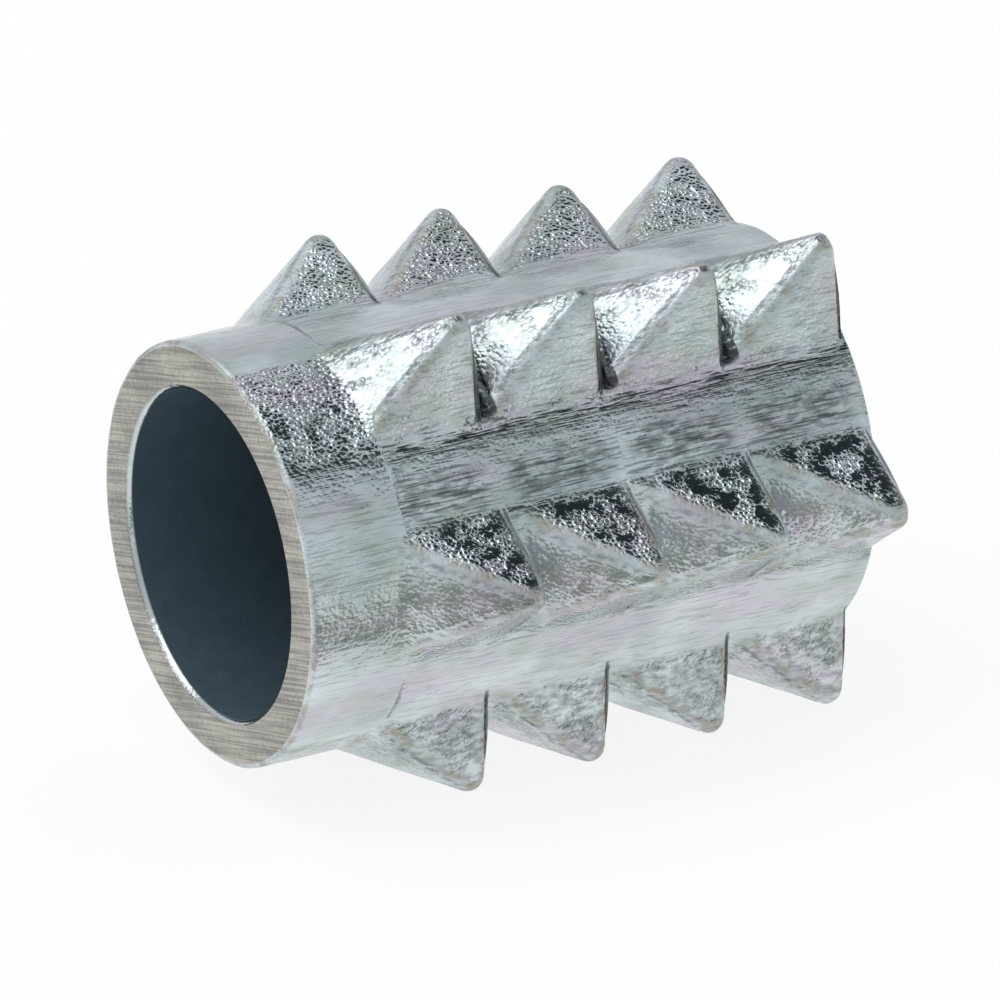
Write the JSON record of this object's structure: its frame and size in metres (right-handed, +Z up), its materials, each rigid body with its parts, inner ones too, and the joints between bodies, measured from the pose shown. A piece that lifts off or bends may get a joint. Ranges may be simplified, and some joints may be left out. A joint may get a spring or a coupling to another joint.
{
  "type": "insert nut",
  "caption": "Hammer-in insert nut: a short metal sleeve with rows of wedge-shaped barbs that grip the wood around it, a plain pilot collar and a threaded bore for a screw.",
  "frame": {"origin": "centre of the flush end, where the screw goes in, on the axis of the bore", "axes": "+X along the bore, out of the flush end; -X towards the pilot end; +Z up as the nut lies on two rows of its barbs"},
  "size_m": [0.0131, 0.0118, 0.0102],
  "materials": {
    "zinc": "bright zinc plate on die-cast zinc alloy, fine grained"
  },
  "bodies": {
    "root": {"insert_nut": "zinc"}
  },
  "joints": []
}
